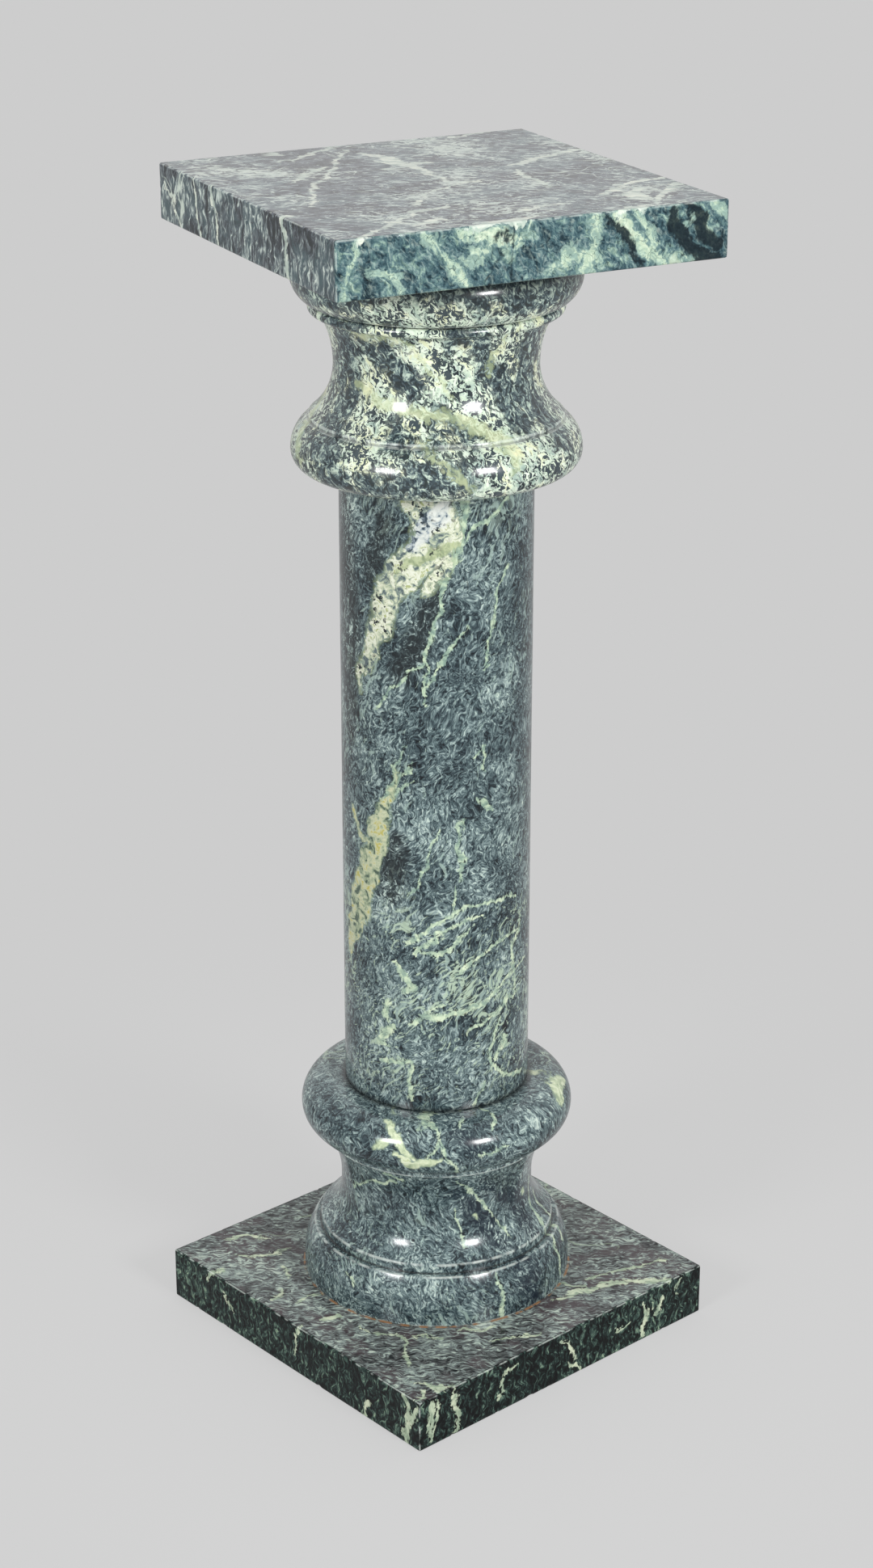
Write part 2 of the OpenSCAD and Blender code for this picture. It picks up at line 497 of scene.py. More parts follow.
def stroke_group():
    """A node group that measures the distance to one tapering stroke and keeps the nearest."""
    group = bpy.data.node_groups.new("stroke", "ShaderNodeTree")
    number, vector = "NodeSocketFloat", "NodeSocketVector"
    for name, kind in (
        ("Place", vector), ("Nearest", number), ("Start", vector), ("Way", vector),
        ("Share", vector), ("Width", number), ("Narrowing", number),
    ):
        group.interface.new_socket(name, in_out="INPUT", socket_type=kind)
    group.interface.new_socket("Nearest", in_out="OUTPUT", socket_type=number)
    entry = group.nodes.new("NodeGroupInput")
    fields = [Field(group, entry.outputs[i]) for i in range(7)]
    place, nearest, start, way, share, width, narrowing = fields
    from_start = place - start
    along = from_start.dot(share).math("MAXIMUM", 0.0).math("MINIMUM", 1.0)
    foot = group.nodes.new("ShaderNodeVectorMath")
    foot.operation = "SCALE"
    plug(group, foot.inputs[0], way)
    plug(group, foot.inputs["Scale"], along)
    gap = from_start.vector("DISTANCE", Field(group, foot.outputs[0]), output=1)
    gap = along.math("MULTIPLY_ADD", narrowing, gap) - width
    leave = group.nodes.new("NodeGroupOutput")
    plug(group, leave.inputs[0], nearest.math("MINIMUM", gap))
    return group


FAR = 1000.0  # a distance in mm past every stroke
STROKE = stroke_group()


def strokes(place, lines, unit=1.0):
    """Distance in mm outside the nearest of some strokes, negative inside them.

    Each stroke is a list of (across, up, half width). They are in mm, but across is in units.
    """
    nearest = FAR
    for points in lines:
        for (ax, ay, aw), (bx, by, bw) in zip(points, points[1:]):
            start = Vector((ax * unit, ay, 0))
            way = Vector((bx * unit, by, 0)) - start
            node = place.tree.nodes.new("ShaderNodeGroup")
            node.node_tree = STROKE
            share = way / way.length_squared
            values = (place, nearest, tuple(start), tuple(way), tuple(share), aw, aw - bw)
            for slot, value in zip(node.inputs, values):
                plug(place.tree, slot, value)
            nearest = Field(place.tree, node.outputs[0])
    return nearest


VEIN_CORE = -1.4  # distance at which a vein is at its fullest, mm
VEIN_PULL = 0.42  # how strongly a vein counts against the grain that breaks it up
VEIN_EDGE = (0.68, 0.86)  # levels of the two together at which the vein starts and is full


def veined(under, over, distance, grain, reach, strength):
    """The colour over laid on under along strokes, broken up by the grain towards their edges."""
    nearness = step(distance, reach, VEIN_CORE).math("MULTIPLY_ADD", VEIN_PULL, grain)
    return layer(under, over, step(nearness, *VEIN_EDGE) * strength)


SPECULAR = 0.5  # the bare stone's specular level
COAT_ROUGHNESS = 0.13
ROUGHNESS = (0.17, 0.31)  # the stone's roughness where it is best and least polished
DULL_SIZE = 22  # size of the less polished places, mm
PIT_SIZE = 5  # mm
PIT_DEPTH = 0.4  # mm
PIT_STRENGTH = 0.05


def marble(name, paint, gloss):
    """A polished marble: paint gives its colour from the place, and gloss is its wax's share."""
    material = bpy.data.materials.new(name)
    material.use_nodes = True
    tree = material.node_tree
    shader = tree.nodes["Principled BSDF"]
    place = object_place(tree) * (1 / MM)
    plug(tree, shader.inputs["Base Color"], paint(place))
    smooth, rough = ROUGHNESS
    dull = cloud(place, DULL_SIZE, 3).math("MULTIPLY_ADD", rough - smooth, smooth)
    plug(tree, shader.inputs["Roughness"], dull)
    shader.inputs["IOR"].default_value = 1.5
    shader.inputs["Specular IOR Level"].default_value = SPECULAR * gloss
    shader.inputs["Coat Weight"].default_value = gloss
    shader.inputs["Coat Roughness"].default_value = COAT_ROUGHNESS
    bump = tree.nodes.new("ShaderNodeBump")
    bump.inputs["Strength"].default_value = PIT_STRENGTH
    bump.inputs["Distance"].default_value = PIT_DEPTH * MM
    plug(tree, bump.inputs["Height"], cloud(place, PIT_SIZE, 3, 0.55))
    tree.links.new(bump.outputs[0], shader.inputs["Normal"])
    return material


# ---- marble of the turned pieces

# dark colour of painted shade, in inner corners and where pieces meet
SHADE_COLOUR = "101415"
WAX = "96714f"
PALE_FIBRE = "8fa39b"
BACK_VEIN = "a9bda4"
WRAP_RADIUS = 100.0  # radius at which strokes on the base and the capital are measured, mm
CORNER_REACH = 1.9  # how far the painted highlight on arrises and the painted shade in corners reach from a corner, mm
BOTTOM = {node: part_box(node)[0].z / MM for node in ("base", "shaft", "capital", "top_slab")}
BASE = base_strands()
SHAFT = shaft_strands((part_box("shaft")[1].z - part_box("shaft")[0].z) / MM)
CAPITAL = capital_strands()


def circles(place, marks):
    """Distance in mm from the nearest of some level circles, given as (radius, height)."""
    from_axis = (place * (1, 1, 0)).vector("LENGTH", output=1)
    section = pack(from_axis, 0.0, place.part(2))
    nearest = FAR
    for radius, height in marks:
        nearest = section.vector("DISTANCE", (radius, 0.0, height), output=1).math("MINIMUM", nearest)
    return nearest


def worn(colour, place, strands, bottom, shade_share):
    """The colour of a turned piece: arrises paler with a painted highlight, on patches that also stand
    for rubbing, and painted shade in its inner corners.
    """
    patches = step(cloud(place, 11), 0.36, 0.56)
    # painted highlight along the arrises, partly rubbing
    rubbed_and_highlit = step(circles(place, corners(strands, bottom, True)), CORNER_REACH, 0.7)
    # painted shade in the inner corners
    painted_shade = step(circles(place, corners(strands, bottom, False)), CORNER_REACH, 0.5)
    colour = layer(colour, "c9d1cb", rubbed_and_highlit * patches * 0.5)
    return layer(colour, SHADE_COLOUR, painted_shade * shade_share)


def unrolled(place, radius):
    """(distance round from the front, height), in mm, at the given radius."""
    turned_place = spun(place, -FRONT)
    round_front = turned_place.part(1).math("ARCTAN2", turned_place.part(0))
    return pack(round_front * radius, place.part(2))


def fleck_ground(place, lean, bias=0.0):
    """(colour, grain, tone) of slate-green stone of fine curled fibres; more bias is paler."""
    bent = grained(shove(shove(place, 46, 5), 9, 2.2), lean, 0.45)
    grain = cloud(bent, 2.9, 3.0, 0.66, 0.7)
    wide = cloud(place, 42, 4.0, 0.66)
    tone = grain + curls(bent, 6.0, 55) * 0.035 + wide.math("MULTIPLY_ADD", 0.50, bias - 0.25)
    colour = ramp(tone, {
        30: "0d1519", 39: "202c32", 46: "38474c", 53: "536466", 60: "758687", 68: "9fb0aa",
        80: "cad5cb",
    })
    return colour, grain, tone


def fibres(under, over, place, lean, size, squeeze, level, strength):
    """Long thin fibres of a colour along a leaning way, in drifts; a higher level leaves fewer."""
    field = cloud(grained(shove(place, 26, 4.5), lean, squeeze), size, 3, 0.6)
    field = field + cloud(place, 60, 1).math("MULTIPLY_ADD", 0.5, -0.25)
    return layer(under, over, step(field, level, level + 0.09) * strength)


def back_veins(under, over, place, lean):
    """A few thin veins on the side away from the front."""
    behind = step(spun(place, -FRONT).part(0), 5, -30)
    lines = threads(grained(shove(place, 32, 5), lean, 0.4), 62, 0.011, 2.5)
    drifts = step(cloud(place, 70, 1.5), 0.44, 0.56)
    return layer(under, over, lines * drifts * behind * 0.85)


def vein_tones(place, dark, middle, pale):
    """A vein's colour, which drifts between three tones."""
    return ramp(cloud(place, 6, 3, 0.6), {38: dark, 50: middle, 62: pale})


def shaft_paint(place):
    """Colour of the shaft, with strokes as (degrees right of the front, height, half width)."""
    unit = SHAFT_RADIUS * DEG
    ground, grain, tone = fleck_ground(place, lean=22)
    flat = unrolled(shove(shove(place, 16, 2.4), 3.5, 0.7), SHAFT_RADIUS)
    ragged = (tone - 0.5) * 6
    height = place.part(2)
    ground = fibres(ground, PALE_FIBRE, place, 24, 4, squeeze=0.16, level=0.6, strength=0.75)
    ground = fibres(ground, "1b2428", place, 14, 3.2, squeeze=0.12, level=0.62, strength=0.7)
    ground = back_veins(ground, BACK_VEIN, place, lean=35)
    in_swirl = step(height, 225, 270) * step(height, 440, 400)
    swept = fibres(ground, "a3b5a0", place, 50, 3, squeeze=0.13, level=0.57, strength=0.85)
    ground = layer(ground, swept, in_swirl)

    # Dark, faintly purple stone along the left side and under the pale patch
    dark = strokes(flat, [
        [(-75, 770, 18), (-62, 640, 14), (-64, 560, 8)], [(-30, 745, 8), (-42, 700, 6)],
        [(0, 690, 7), (-10, 655, 10), (-22, 620, 9)], [(-26, 470, 12), (-30, 430, 10)],
    ], unit)
    shaded = step(dark + ragged, 9, -6) * step(tone, 0.75, 0.45)
    colour = layer(ground, "1c2224", shaded * 0.8)

    # Pale sea-green veins, feathered by the flecks
    green = strokes(flat, [
        [(17, 765, 3), (14, 740, 2.2), (8, 712, 2.2), (4, 690, 1.6), (0, 668, 1.2), (-5, 648, 2.2),
         (-9, 632, 1)],
        [(50, 768, 0.8), (34, 749, 1.6), (23, 744, 1.4), (16, 732, 0.8)],
        [(-9, 632, 1), (-18, 618, 0.6), (-31, 601, 0.7), (-38, 590, 0.4)],
        [(-8, 633, 0.8), (-6, 616, 0.7), (-6, 598, 0.3)],
        [(46, 706, 0.5), (38, 688, 1), (33, 655, 0.8), (28, 622, 0.5)],
        [(18, 662, 0.5), (8, 646, 0.8), (-1, 626, 1), (-5, 605, 0.4)],
        [(30, 540, 0.4), (28, 560, 1.2), (22, 548, 0.5)],
        [(16, 500, 0.4), (14, 478, 1.4), (16, 460, 2), (15, 443, 0.6)],
        [(12, 436, 0.8), (9, 422, 1.3), (10, 414, 0.4)],
        [(-18, 430, 0.4), (-6, 458, 0.6), (2, 486, 0.4)],
        [(-36, 500, 2), (-27, 530, 1.4), (-20, 560, 0.5)],
        [(-31, 512, 1.4), (-22, 533, 1), (-13, 546, 0.4)],
        [(-30, 510, 1), (-22, 523, 1), (-14, 529, 0.4)],
        [(25, 516, 0.6), (30, 508, 2.6), (35, 502, 1.2)],
    ], unit)
    sea_green = vein_tones(place, "758d80", "98ad97", "b7c8ab")
    colour = veined(colour, sea_green, green, grain, reach=3, strength=0.9)

    # The rising swirl of pale veins on the lower part
    swirl = strokes(flat, [
        [(57, 418, 0.6), (30, 422, 0.8), (9, 414, 1.4), (-6, 400, 1), (-18, 386, 0.5)],
        [(30, 411, 0.5), (14, 407, 1), (0, 393, 1.2), (-10, 384, 2.2), (-14, 378, 1)],
        [(19, 399, 0.8), (9, 383, 2.2), (-5, 378, 1.4), (-13, 386, 0.6)],
        [(58, 384, 0.6), (36, 380, 1.3), (24, 368, 1.2), (12, 360, 0.5)],
        [(70, 355, 0.5), (43, 340, 0.8), (25, 328, 1.6), (10, 323, 1.8), (-1, 319, 2.6),
         (-9, 322, 0.8)],
        [(-27, 369, 0.8), (-24, 361, 1.4), (-18, 354, 3), (-14, 346, 2), (-20, 341, 0.8)],
        [(4, 335, 0.8), (-6, 323, 1), (-16, 311, 0.6)],
        [(64, 325, 0.6), (46, 323, 1.3), (30, 313, 1.2), (18, 303, 0.6)],
        [(-30, 330, 1.6), (-33, 318, 2.4), (-30, 312, 1)],
        [(-25, 309, 2), (-33, 299, 2.2), (-40, 292, 1.6), (-30, 292, 1)],
        [(-35, 276, 1.2), (-27, 275, 1.6), (-17, 278, 1.2), (-15, 264, 1.4), (-15, 240, 0.8)],
        [(43, 314, 1), (38, 297, 1.8), (35, 283, 1.2), (38, 268, 1.2), (47, 255, 1.4), (66, 248, 1.8)],
        [(48, 290, 1.6), (40, 274, 0.8)], [(31, 255, 0.6), (26, 234, 1)],
        [(62, 395, 0.6), (52, 360, 1), (56, 330, 0.6)],
    ], unit)
    pale_green = vein_tones(place, "83998a", "a9bca2", "c9d6b8")
    colour = veined(colour, pale_green, swirl, grain, reach=3.4, strength=0.9)

    # Two large pale patches on the left of the front
    patch = strokes(flat, [
        [(-14, 770, 14), (-2, 758, 18), (1, 737, 16), (-9, 718, 14), (-24, 702, 12), (-30, 685, 12),
         (-33, 668, 10), (-38, 652, 9), (-42, 636, 6), (-46, 618, 2)],
        [(2, 727, 11), (4, 708, 6), (-4, 695, 4)], [(-42, 640, 4), (-52, 616, 3), (-50, 600, 1)],
    ], unit)
    patch = patch + ragged * 1.3
    body = cloud(shove(place, 9, 2.5), 9, 4, 0.6)
    cream = ramp(body, {
        38: "4f5c5f", 43: "7f8d84", 47: "a3ad94", 52: "c1c5ad", 57: "cfd3c6", 63: "9aa373",
    })
    cold = strokes(flat, [[(6, 766, 5), (0, 752, 10), (-8, 738, 7), (-15, 728, 3)]], unit)
    colder = ramp(body, {40: "333f48", 45: "86929a", 50: "b2b9b5", 60: "cacec8"})
    cream = layer(cream, colder, step(cold + ragged, 2, -2))
    band = strokes(flat, [[(10, 730, 3), (-2, 724, 4.5), (-16, 714, 3.5), (-24, 704, 1.5)]], unit)
    olive = ramp(body, {40: "7c8a68", 60: "a3ae87"})
    cream = layer(cream, olive, step(band + ragged * 0.5, 1, -1) * 0.85)
    specks = step(cloud(place, 4.2, 2.5, 0.6), 0.55, 0.59) * step(cloud(place, 18, 1), 0.42, 0.58)
    cream = layer(cream, "1c2429", specks)
    colour = layer(colour, "8b9b78", step(patch, 3, 0) * 0.45)
    colour = layer(colour, cream, step(patch, 0.3, -1.2))

    low_patch = strokes(flat, [
        [(-24, 540, 0.8), (-28, 515, 3.5), (-34, 500, 7), (-38, 478, 9), (-45, 448, 12),
         (-52, 418, 14), (-62, 385, 11), (-68, 362, 4)],
        [(-60, 495, 1.6), (-54, 474, 2.6), (-46, 470, 2)],
    ], unit)
    low_patch = low_patch + ragged
    moss = ramp(body, {38: "45554a", 43: "7d8c73", 48: "9aa589", 55: "b6ba9d", 62: "a8a35c"})
    colour = layer(colour, "7c9079", step(low_patch, 2.2, 0) * 0.5)
    colour = layer(colour, moss, step(low_patch, 0.4, -1))
    # painted shade: the shaft darkens towards both ends, where it meets the base and the capital
    foot = BOTTOM["shaft"]
    head = BOTTOM["capital"]
    painted_shade = step(height, foot + 6, foot + 0.4).math("MAXIMUM", step(height, head - 6, head - 0.4))
    return layer(colour, SHADE_COLOUR, painted_shade * 0.75)


def base_paint(place):
    """Colour of the base, with strokes as on the shaft."""
    unit = WRAP_RADIUS * DEG
    ground, grain, tone = fleck_ground(place, lean=-24, bias=0.01)
    flat = unrolled(shove(shove(place, 16, 2.2), 3.5, 0.7), WRAP_RADIUS)
    ragged = (tone - 0.5) * 4
    ground = fibres(ground, PALE_FIBRE, place, -28, 4, squeeze=0.18, level=0.6, strength=0.75)
    ground = fibres(ground, "18232b", place, -20, 3.6, squeeze=0.14, level=0.6, strength=0.75)
    ground = back_veins(ground, BACK_VEIN, place, lean=-35)
    dark = strokes(flat, [
        [(12, 158, 5), (26, 128, 9), (38, 106, 8)], [(28, 168, 6), (56, 136, 12), (58, 104, 10)],
        [(44, 84, 10), (46, 56, 9)], [(10, 226, 4), (16, 216, 5)],
    ], unit)
    shaded = step(dark + ragged, 8, -5) * step(tone, 0.75, 0.4)
    colour = layer(ground, "16222d", shaded * 0.8)
    pale = strokes(flat, [
        [(1, 227, 0.8), (2, 218, 0.7), (5, 208, 0.9), (9, 192, 1.1)],
        [(1, 224, 0.6), (-1, 217, 0.8), (-4, 211, 0.5)],
        [(-9, 232, 0.8), (-2, 231, 1.2), (1, 228, 0.6)], [(30, 232, 0.7), (27, 226, 1.2)],
        [(13, 232, 0.8), (12, 230, 0.8)], [(-60, 143, 0.9), (-40, 160, 1.6), (-24, 167, 1.4)],
        [(-30, 174, 1), (-18, 174, 1.2)],
        [(12, 173, 1), (20, 158, 1.4), (30, 140, 1.2), (36, 124, 0.8)],
        [(34, 128, 0.6), (41, 114, 1.2), (44, 104, 0.8)],
        [(10, 140, 0.6), (13, 122, 1), (16, 106, 0.5)], [(28, 86, 0.8), (29, 70, 1.4), (28, 52, 1.6)],
        [(-44, 80, 0.8), (-38, 72, 0.8)],
        [(76, 140, 0.8), (72, 110, 1.6), (70, 94, 2), (68, 80, 1.6), (69, 55, 1.4)],
        [(84, 120, 1.2), (80, 96, 1.6), (78, 78, 1.4)], [(18, 209, 0.5), (31, 212, 0.6)],
    ], unit)
    pale_green = vein_tones(place, "7e9487", "a3b69d", "c3d1b6")
    colour = veined(colour, pale_green, pale, grain, reach=3, strength=0.92)
    patch = strokes(flat, [
        [(-25, 232, 1), (-21, 228, 2.4), (-17, 222, 4), (-13, 215, 3), (-9, 208, 0.8)],
        [(-27, 213, 1.2), (-23, 218, 2.4), (-18, 221, 2)],
        [(-18, 210, 1.4), (-12, 208, 2.2), (-13, 202, 3), (-8, 203, 4.5), (-2, 206, 4), (2, 208, 1)],
        [(64, 130, 1.6), (64, 134, 1.2)], [(24, 131, 1.6), (25, 127, 0.8)],
        [(88, 228, 3), (76, 226, 5), (70, 221, 3)],
    ], unit)
    patch = patch + ragged * 0.7
    body = cloud(shove(place, 9, 2.5), 9, 4, 0.6)
    cream = ramp(body, {36: "8c9c80", 48: "b3bf9e", 60: "cdd4b9", 70: "a3b27e"})
    colour = layer(colour, "8fa189", step(patch, 1.6, 0) * 0.7)
    colour = layer(colour, cream, step(patch, 0.3, -0.7))
    colour = worn(colour, place, BASE, BOTTOM["base"], shade_share=0.75)
    # painted shadow in a ring on the base round the foot of the shaft
    joint_shadow = step(circles(place, [(SHAFT_RADIUS, BOTTOM["shaft"])]), 6, 0.5)
    colour = layer(colour, SHADE_COLOUR, joint_shadow * 0.7)
    foot = BOTTOM["base"]
    wax = step(place.part(2), foot + 1.5, foot + 0.7) * step(cloud(place, 9, 3), 0.46, 0.58)
    return layer(colour, WAX, wax * 0.8)


def capital_paint(place):
    """Colour of the capital, with strokes as on the shaft."""
    unit = WRAP_RADIUS * DEG
    flat = unrolled(shove(shove(place, 18, 3), 4, 1.2), WRAP_RADIUS)
    bent = grained(shove(place, 8, 2.2), lean=-30, squeeze=0.5)
    fine = cloud(bent, 4.2, 2.5, 0.66, 0.5)
    body = cloud(bent, 15, 4, 0.6)
    pale = ramp(body, {
        32: "6d807d", 41: "9db0a4", 48: "b7c8b4", 55: "c9d6c3", 62: "ccd2ad", 72: "dce2d0",
    })
    pale = layer(pale, "e4eadf", step(curls(bent, 9, 40), 0.2, 1.0) * 0.45)
    grey_band = strokes(flat, [
        [(-56, 900, 6), (-57, 870, 12), (-50, 850, 8), (-60, 815, 8), (-52, 802, 10),
         (-40, 786, 8)],
        [(62, 906, 10), (60, 872, 16), (58, 842, 14), (64, 812, 8)],
        [(-44, 905, 6), (-34, 884, 9), (-20, 866, 8), (-12, 858, 5)],
        [(30, 868, 5), (40, 848, 8), (46, 826, 6)],
        [(-28, 786, 8), (-10, 791, 9), (4, 794, 7), (8, 786, 4)], [(-18, 822, 5), (-10, 812, 4)],
        [(2, 826, 4), (12, 823, 3)], [(-20, 862, 7), (-28, 880, 8)], [(24, 886, 6), (10, 896, 5)],
        [(66, 934, 17), (34, 936, 15), (12, 942, 12), (-10, 946, 8)],
        [(-66, 934, 17), (-38, 934, 15), (-26, 940, 10)], [(-66, 850, 10), (-62, 880, 10)],
    ], unit)
    shade = step(grey_band + (body - 0.5) * 44 + (fine - 0.5) * 34, 10, 1)
    slate_tone = fine + curls(bent, 9, 50) * 0.05
    slate = ramp(slate_tone, {39: "0b141b", 45: "1f2d37", 51: "3f4f57", 57: "6f817f", 65: "b2c2b4"})
    colour = layer(pale, slate, shade * 0.95)
    clusters = cloud(place, 20).math("MULTIPLY_ADD", 0.42, -0.21)
    fleck_tone = cloud(bent, 3.1, 2.5, 0.66, 0.5) + clusters + curls(bent, 10, 45) * 0.03
    flecks = step(fleck_tone, 0.51, 0.535) * (1.0 - shade * 0.6)
    colour = layer(colour, ramp(body, {40: "0e1822", 60: "2b3944"}), flecks * 0.96)
    small_flecks = step(cloud(bent, 2.8, 2, 0.6), 0.60, 0.64)
    colour = layer(colour, "34434a", small_flecks * 0.6)
    green = strokes(flat, [
        [(-92, 834, 4), (-84, 823, 4), (-78, 812, 5), (-72, 800, 5), (-66, 788, 3)],
        [(-46, 897, 2), (-29, 896, 3), (-17, 892, 2.5), (-9, 880, 2), (1, 862, 2),
         (8, 850, 3)],
        [(40, 908, 2), (35, 893, 2.6), (31, 880, 2.6), (28, 866, 2)],
        [(-8, 818, 1.6), (0, 808, 2), (6, 799, 2.4), (12, 790, 2), (15, 781, 1.4)],
        [(-50, 850, 3), (-32, 842, 4.5), (-18, 841, 5), (-5, 836, 4.5), (7, 833, 5),
         (19, 827, 5), (29, 817, 6), (34, 808, 7), (32, 798, 5)],
    ], unit)
    green = green + (fine - 0.5) * 14
    moss = ramp(body, {38: "93a27f", 50: "b4bf98", 60: "c9d0ac", 70: "d6d4a3"})
    colour = layer(colour, moss, step(green, 1.5, -2.5) * 0.7)
    # painted shade: the capital darkens towards the slab that overhangs it
    top = BOTTOM["top_slab"]
    colour = layer(colour, "131c20", step(place.part(2), top - 34, top - 4) * 0.8)
    return worn(colour, place, CAPITAL, BOTTOM["capital"], shade_share=0.4)


# ---- marble of the blocks

def unfolded(place, half, top):
    """(place on the block's outside laid flat, 1 on its x sides, 1 on its y sides).

    The sides are folded out beyond the edges of the top, and the place is moved about a little.
    """
    on_x = step(abs(place.part(0)), half - 1.7, half - 1.5)
    on_y = step(abs(place.part(1)), half - 1.7, half - 1.5)
    warped = shove(shove(place, 20, 3), 4, 1.1)
    across = warped.part(0)
    along = warped.part(1)
    depth = top - warped.part(2)
    x = across + across.math("SIGN") * depth * on_x
    y = along + along.math("SIGN") * depth * on_y
    return pack(x, y), on_x, on_y


def rubbed_and_highlit_edges(colour, place, half, top):
    """The colour with the block's upper and upright edges paler: a painted highlight along them, on
    patches that also stand for rubbing.
    """
    gaps = [half - abs(place.part(0)), half - abs(place.part(1)), top - place.part(2)]
    first = gaps[0].math("MAXIMUM", gaps[1])
    second = gaps[0].math("MAXIMUM", gaps[2])
    third = gaps[1].math("MAXIMUM", gaps[2])
    gap = first.math("MINIMUM", second).math("MINIMUM", third)
    patches = step(cloud(place, 9, 2.5), 0.42, 0.56)
    # pale line along the edges: painted highlight, partly rubbing
    return layer(colour, "c5cdc7", step(gap, 1.5, 0.5) * patches * 0.5)


def foliated(place, squeeze):
    """The place squeezed so that flecks run level across the front and straight down the sides."""
    return spun(place, -FRONT) * (1.0, squeeze, squeeze)


def slab_paint(place):
    """Colour of the top slab, with strokes in mm on its outside laid flat."""
    half = SLAB_SIDE / 2
    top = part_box("top_slab")[1].z / MM
    stone = spun(place, -SLAB_TURN)
    flat, on_x, on_y = unfolded(stone, half, top)
    grain = foliated(shove(place, 11, 1.9), 0.23)
    fine = cloud(grain, 2.8, 3, 0.65, 0.5)
    wide = cloud(foliated(shove(place, 40, 9), 0.5), 34, 3, 0.6)
    tone = fine + curls(grain, 9, 45) * 0.035 + wide.math("MULTIPLY_ADD", 0.45, -0.225)
    ragged = (fine - 0.5) * 10
    streaky = ramp(tone, {
        31: "0c0f13", 40: "282c34", 47: "474c55", 54: "666e75", 61: "929e9c", 71: "c6d1c8",
    })
    # painted shade: the sides and the underside are darkened below the top's edge
    side_shade = step(place.part(2), top - 1.2, top - 1.8) * step(tone, 0.75, 0.4)
    streaky = layer(streaky, "1c2627", side_shade * 0.6)
    green_drift = step(wide, 0.45, 0.62) * step(tone, 0.75, 0.35)
    streaky = layer(streaky, "4a6468", green_drift * 0.55)
    seams = threads(grained(shove(place, 9, 2), 75, 0.3), 9, 0.016)
    streaky = layer(streaky, "262a31", seams * 0.6)

    # The right side of the front is teal, nearly black in places, with broken pale patches
    clouds = cloud(grained(shove(place, 12, 2.6), -42, 0.5), 12, 5.5, 0.7, 0.4)
    teal = ramp(clouds, {
        36: "031015", 43: "122a33", 50: "38545c", 56: "5b7775", 62: "8fa998", 72: "c2d2b9",
    })
    teal = layer(teal, "0d2028", threads(shove(place, 7, 1.6), 11, 0.014) * 0.85)
    dust = cloud(grained(shove(place, 7, 1.6), -38, 0.38), 3, 3, 0.66)
    dusty = ramp(dust, {36: "0f2027", 44: "2c444c", 52: "526b70", 60: "8aa09c", 70: "bccbbf"})
    teal = layer(teal, dusty, 0.38)
    right_side = on_x * step(place.part(0), 0, 20)
    colour = layer(streaky, teal, right_side)

    veins = strokes(flat, [
        [(-120, -80, 0.8), (-132, -55, 2), (-148, -28, 1.6), (-160, -14, 1)],
        [(-42, -102, 0.8), (-66, -77, 2), (-86, -58, 1.2)],
        [(46, -130, 0.6), (-7, -101, 0.9), (-73, -56, 0.7), (-145, -10, 0.6)],
        [(-122, -5, 2), (-98, 5, 5), (-60, 7, 5), (-25, 7, 2.5), (12, 6, 0.8)],
        [(-86, -8, 2), (-66, 4, 4), (-66, 26, 2)],
        [(80, -62, 0.8), (45, -31, 1), (26, -1, 0.8), (15, 33, 0.6)],
        [(166, -146, 1.6), (146, -121, 1), (126, -98, 1), (100, -66, 1.8), (92, -36, 0.8)],
        [(123, -104, 0.8), (142, -88, 2.6), (130, -64, 3), (137, -58, 1)],
        [(-150, 91, 1), (-165, 132, 2.2), (-168, 150, 1.5)],
        [(-25, 76, 1), (-43, 114, 2), (-60, 154, 2.4), (-56, 166, 2)],
        [(-8, 73, 1), (32, 66, 2), (60, 65, 0.8)], [(133, -2, 0.8), (123, 23, 1.4), (123, 44, 0.6)],
        [(106, 88, 2), (85, 115, 1.4), (74, 142, 2.4), (71, 160, 2)],
        [(132, 104, 6), (114, 105, 6), (100, 118, 3)],
        [(143, 109, 2.5), (115, 140, 1.8), (98, 158, 1.2)],
        [(165, -60, 2), (160, -36, 4), (157, -10, 3), (150, 10, 1)],
        [(168, 66, 3), (158, 84, 4), (155, 98, 2)],
        [(-60, -163, 0.8), (-52, -186, 0.6), (-46, -208, 0.5)],
        [(72, -160, 2), (77, -176, 2.4), (80, -206, 1.4)],
        [(-95, -164, 0.8), (-88, -190, 1), (-82, -208, 0.6)],
        [(-155, -180, 0.6), (-138, -191, 0.8), (-122, -202, 0.6)],
    ])
    milky = ramp(cloud(grain, 4, 3), {40: "a9b7ac", 52: "ccd5c8", 66: "dfe3d2"})
    mottle = fibres(colour, "bdc9bf", place, 66, 4, squeeze=0.2, level=0.56, strength=0.85)
    mottle = fibres(mottle, "c9d2c8", place, 105, 3.4, squeeze=0.16, level=0.59, strength=0.85)
    colour = layer(mottle, colour, on_x.math("MAXIMUM", on_y))
    feather = cloud(grain, 3, 3.5, 0.7)
    colour = veined(colour, milky, veins, feather, reach=4.6, strength=0.85)
    colour = back_veins(colour, "c0cbbf", place, lean=60)

